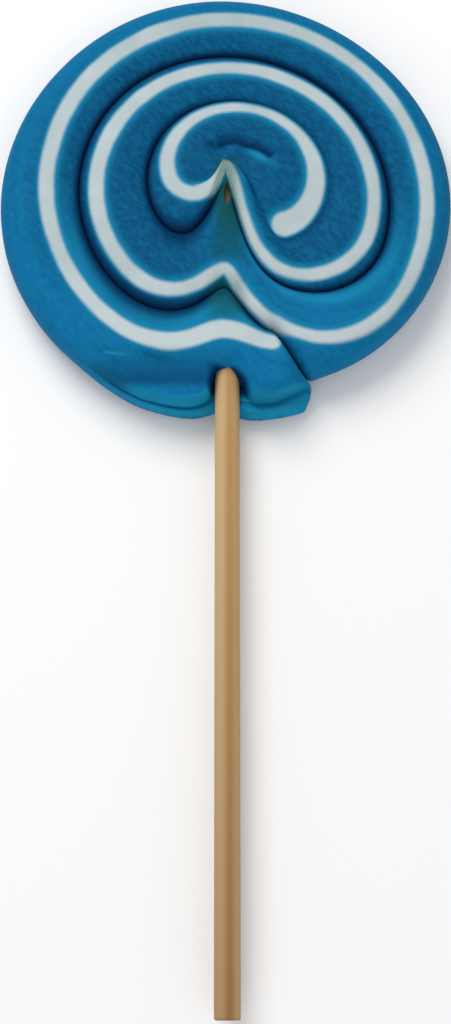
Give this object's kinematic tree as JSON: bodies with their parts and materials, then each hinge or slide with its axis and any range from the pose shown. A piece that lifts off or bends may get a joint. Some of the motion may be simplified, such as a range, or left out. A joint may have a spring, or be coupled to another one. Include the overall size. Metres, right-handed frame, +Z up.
{
  "type": "swirl lollipop",
  "caption": "Round swirl lollipop: a blue candy rope with a white layer, coiled flat and grooved between turns, on a plain round wooden stick, lying on its back.",
  "frame": {"origin": "the middle of the coil, on the flat back of the disc, which rests on the floor", "axes": "+Z up out of the shown face, +Y along the stick from its free end toward the disc, +X to the right seen from above with the stick toward the viewer"},
  "size_m": [0.083, 0.1863, 0.011],
  "materials": {
    "blue_candy": "satin hard sugar with fine pulled streaks",
    "white_candy": "satin hard sugar",
    "wood": "plain unvarnished birch"
  },
  "bodies": {
    "root": {"blue_candy": "blue_candy", "white_candy": "white_candy", "stick": "wood"}
  },
  "joints": []
}
